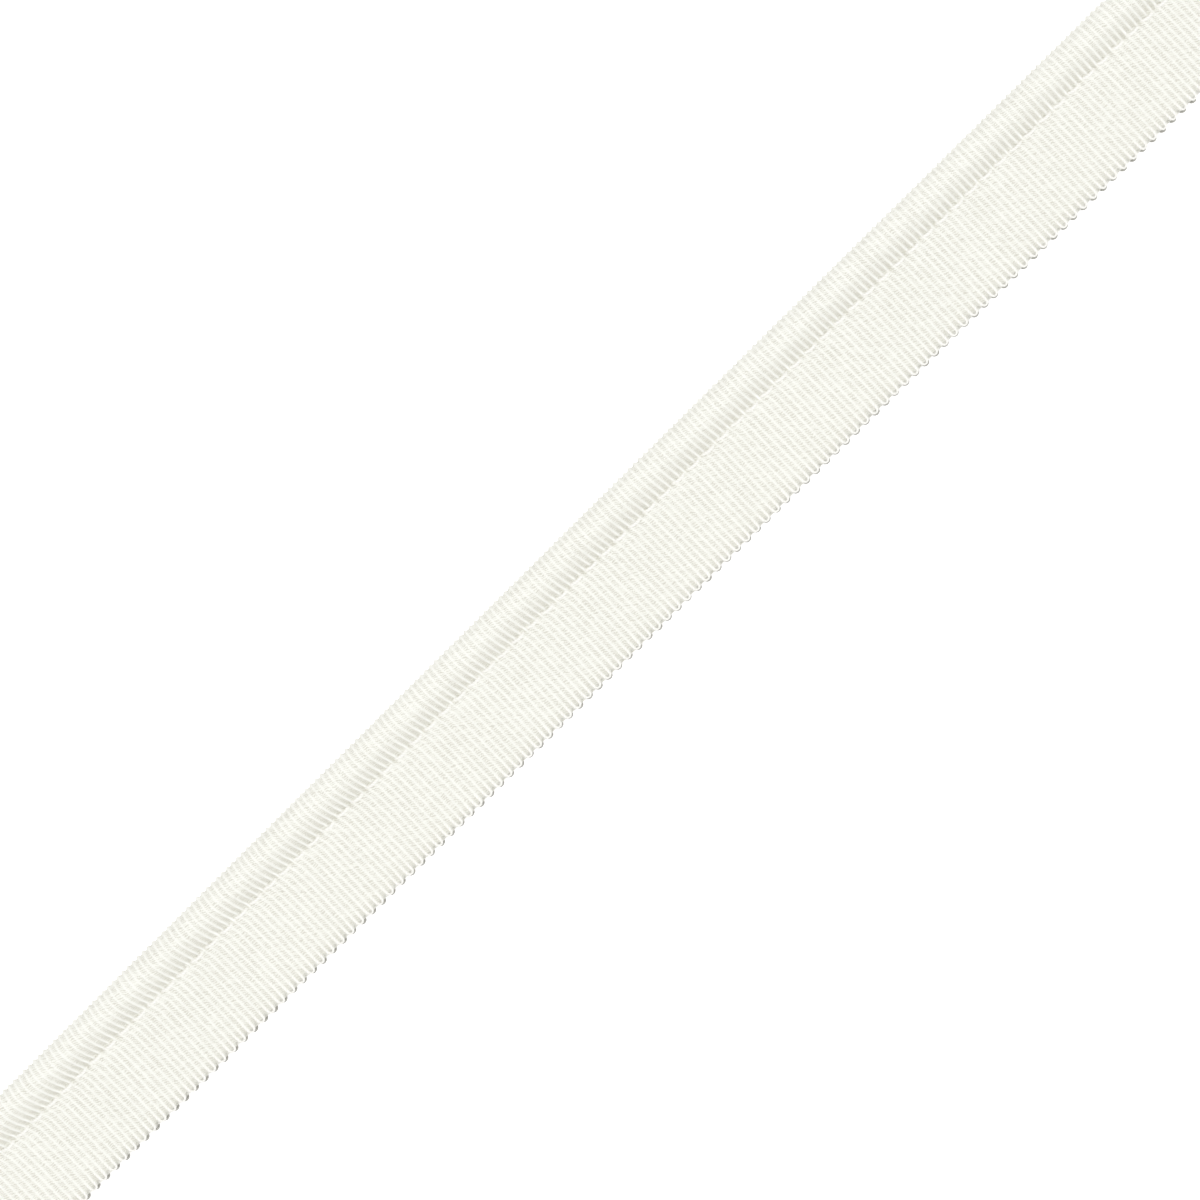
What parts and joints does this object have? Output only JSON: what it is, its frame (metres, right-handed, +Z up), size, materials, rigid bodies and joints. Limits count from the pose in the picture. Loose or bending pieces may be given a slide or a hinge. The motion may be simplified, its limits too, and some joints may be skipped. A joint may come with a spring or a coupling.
{
  "type": "cut length of corded piping trim",
  "caption": "Straight cut length of corded piping: a ribbed woven tape folded round a filler cord and stitched close beside it, with a flat sew-in flange and looped selvedges.",
  "frame": {"origin": "middle of the trim in length and width, on the surface that it lies on", "axes": "+X along the trim, +Y from the selvedges towards the cord, +Z up, out of the face that shows"},
  "size_m": [0.24, 0.0178, 0.0047],
  "materials": {
    "woven_tape": "matt cross-ribbed weave, ivory"
  },
  "bodies": {
    "root": {"tape": "woven_tape"}
  },
  "joints": []
}
